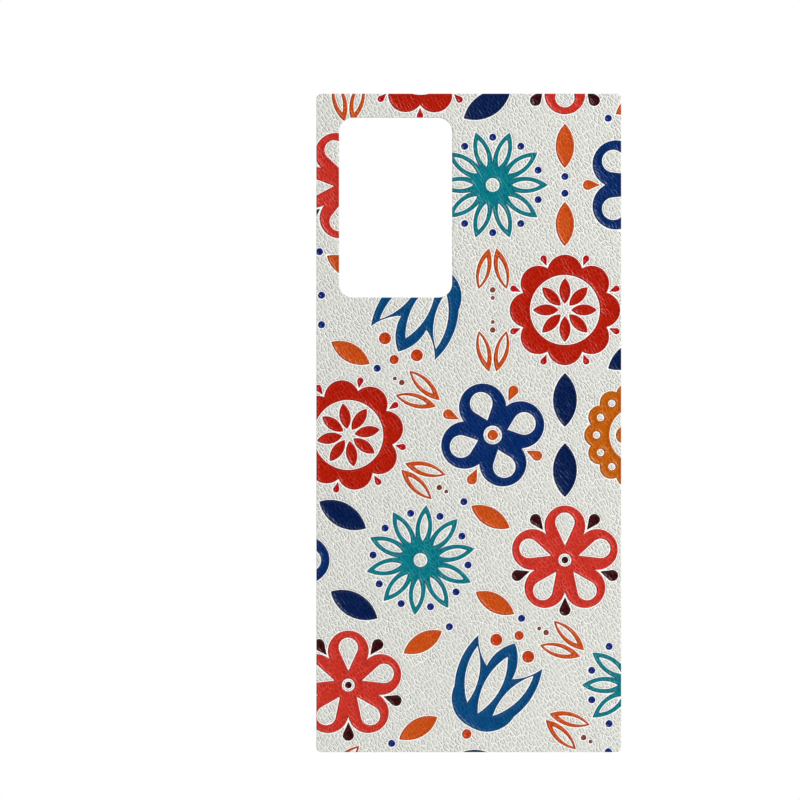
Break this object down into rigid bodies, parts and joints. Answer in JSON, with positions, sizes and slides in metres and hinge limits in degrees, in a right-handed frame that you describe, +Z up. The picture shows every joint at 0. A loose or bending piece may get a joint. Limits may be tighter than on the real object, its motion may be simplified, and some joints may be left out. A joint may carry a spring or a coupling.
{
  "type": "phone back skin",
  "caption": "Thin adhesive skin for a phone's back: leather-grained sheet with raised flower prints, a camera window and a peel-off liner in two halves.",
  "frame": {"origin": "middle of the bonding plane, where the mounting adhesive meets the phone's back", "axes": "+Z up along the phone's length, +X across it, -Y towards the viewer on the printed side, +Y into the phone, through the release liner"},
  "size_m": [0.076, 0.001, 0.1642],
  "materials": {
    "leather": "pebble grain, satin",
    "film": "translucent, matt",
    "adhesive": "tacky, clear",
    "liner": "glazed, silicone coated",
    "ink_coral": "satin, over the grain",
    "ink_maroon": "satin",
    "ink_vermilion": "satin, over the grain",
    "ink_crimson": "satin",
    "ink_teal": "satin, over the grain",
    "ink_royal_blue": "satin",
    "ink_blue": "satin, over the grain",
    "ink_berry": "satin",
    "ink_navy": "satin, over the grain",
    "ink_orange": "satin, over the grain",
    "ink_amber": "satin, over the grain",
    "ink_deep_navy": "satin, over the grain",
    "ink_brown": "matt"
  },
  "bodies": {
    "skin": {"mounting_adhesive": "adhesive", "carrier_film": "film", "laminating_adhesive": "adhesive", "leather_face": "leather", "coral_blossoms": "ink_coral", "maroon_seeds": "ink_maroon", "vermilion_rosettes": "ink_vermilion", "crimson_drops": "ink_crimson", "teal_daisies": "ink_teal", "royal_blue_dots": "ink_royal_blue", "blue_tulips": "ink_blue", "orange_berries": "ink_berry", "navy_quatrefoils": "ink_navy", "orange_drops": "ink_orange", "amber_marigolds": "ink_amber", "navy_leaves": "ink_deep_navy", "orange_leaves": "ink_orange", "hollow_leaves": "ink_orange", "brown_dots": "ink_brown"},
    "upper_liner": {"upper_release_liner": "liner"},
    "lower_liner": {"lower_release_liner": "liner"}
  },
  "joints": [
    {"name": "upper_liner_peel", "type": "hinge", "parent": "skin", "child": "upper_liner", "pos_m": [0, 0, 0.0821], "axis": [1, 0, 0], "range_deg": [0, 150]},
    {"name": "lower_liner_peel", "type": "hinge", "parent": "skin", "child": "lower_liner", "pos_m": [0, 0, -0.0821], "axis": [-1, 0, 0], "range_deg": [0, 150]}
  ]
}
